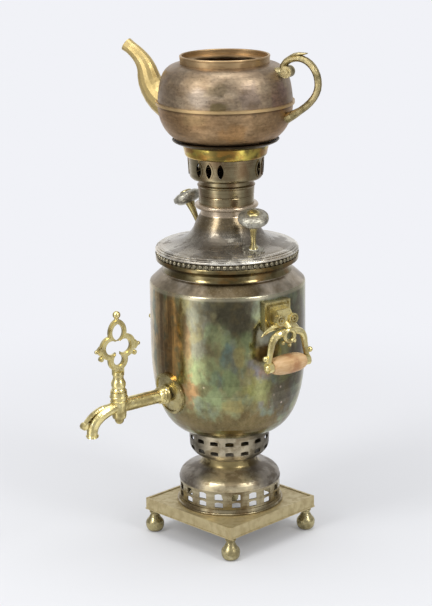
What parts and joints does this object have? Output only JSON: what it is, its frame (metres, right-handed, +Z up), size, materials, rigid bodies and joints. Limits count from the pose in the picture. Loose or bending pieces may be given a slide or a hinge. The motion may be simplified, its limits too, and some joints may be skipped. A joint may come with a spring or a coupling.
{
  "type": "charcoal samovar with teapot",
  "caption": "Charcoal samovar: an urn on a pierced pedestal with a key tap and carrying handles, a lid with knobs, a crown with slots, and a spouted teapot on its tray.",
  "frame": {"origin": "middle of the square base, on the plane that the ball feet stand on", "axes": "+Z up, +X towards one carrying handle, -Y towards the tap"},
  "size_m": [0.2144, 0.2573, 0.502],
  "materials": {
    "plate_brass": "cast, worn satin",
    "foot_brass": "turned, worn",
    "base_brass": "pierced sheet, polished",
    "dome_brass": "spun sheet, scratched",
    "urn_brass": "spun sheet with an iridescent patina",
    "gold_brass": "spun sheet, polished",
    "lid_nickel": "nickelled sheet, satin",
    "cast_brass": "cast, worn",
    "knob_metal": "cast, dull",
    "crown_brass": "sheet, tarnished",
    "tray_brass": "sheet, blackened",
    "grate_iron": "sooty",
    "pot_copper": "spun sheet, brushed",
    "spout_brass": "cast, polished",
    "grab_brass": "cast, dull",
    "grip_wood": "turned, bare"
  },
  "bodies": {
    "root": {"base_plate": "plate_brass", "foot_1": "foot_brass", "foot_2": "foot_brass", "foot_3": "foot_brass", "foot_4": "foot_brass", "base_ring": "base_brass", "lower_gallery": "base_brass", "pedestal_dome": "dome_brass", "upper_gallery": "dome_brass", "body_shell": "urn_brass", "body_bottom": "urn_brass", "throat_ring": "gold_brass", "bead_ring": "lid_nickel", "fire_tube": "urn_brass", "fire_grate": "grate_iron", "tap_flange": "cast_brass", "tap_body": "cast_brass", "handle_plate_right": "cast_brass", "handle_plate_left": "cast_brass", "handle_arm_right": "cast_brass", "handle_arm_left": "cast_brass", "grip_rod_right": "cast_brass", "grip_rod_left": "cast_brass"},
    "tap_key": {"tap_key": "cast_brass"},
    "grip_right": {"grip_right": "grip_wood"},
    "grip_left": {"grip_left": "grip_wood"},
    "lid": {"lid_rim": "lid_nickel", "lid_cone": "lid_nickel", "knob_flange_front": "knob_metal", "knob_flange_back": "knob_metal", "knob_stem_front": "cast_brass", "knob_stem_back": "cast_brass", "knob_cap_front": "knob_metal", "knob_cap_back": "knob_metal"},
    "crown": {"crown_ring": "lid_nickel", "crown_sleeve": "crown_brass", "crown_band": "crown_brass", "crown_cup": "gold_brass", "crown_tray": "tray_brass"},
    "teapot": {"pot_lower": "pot_copper", "pot_upper": "pot_copper", "pot_collar": "pot_copper", "pot_spout": "spout_brass", "pot_handle": "grab_brass"}
  },
  "joints": [
    {"name": "tap_turn", "type": "hinge", "parent": "root", "child": "tap_key", "pos_m": [0, -0.135, 0.17], "axis": [0, 0, 1], "continuous": true},
    {"name": "grip_right_spin", "type": "hinge", "parent": "root", "child": "grip_right", "pos_m": [0.09744, -0.0034, 0.203], "axis": [0.0349, 0.9994, 0], "continuous": true},
    {"name": "grip_left_spin", "type": "hinge", "parent": "root", "child": "grip_left", "pos_m": [-0.09744, 0.0034, 0.203], "axis": [0.0349, 0.9994, 0], "continuous": true},
    {"name": "lid_lift", "type": "slide", "parent": "root", "child": "lid", "axis": [0, 0, 1], "range_m": [0, 0.06]},
    {"name": "crown_lift", "type": "slide", "parent": "lid", "child": "crown", "axis": [0, 0, 1], "range_m": [0, 0.05]},
    {"name": "pot_lift", "type": "slide", "parent": "crown", "child": "teapot", "axis": [0, 0, 1], "range_m": [0, 0.06]}
  ]
}
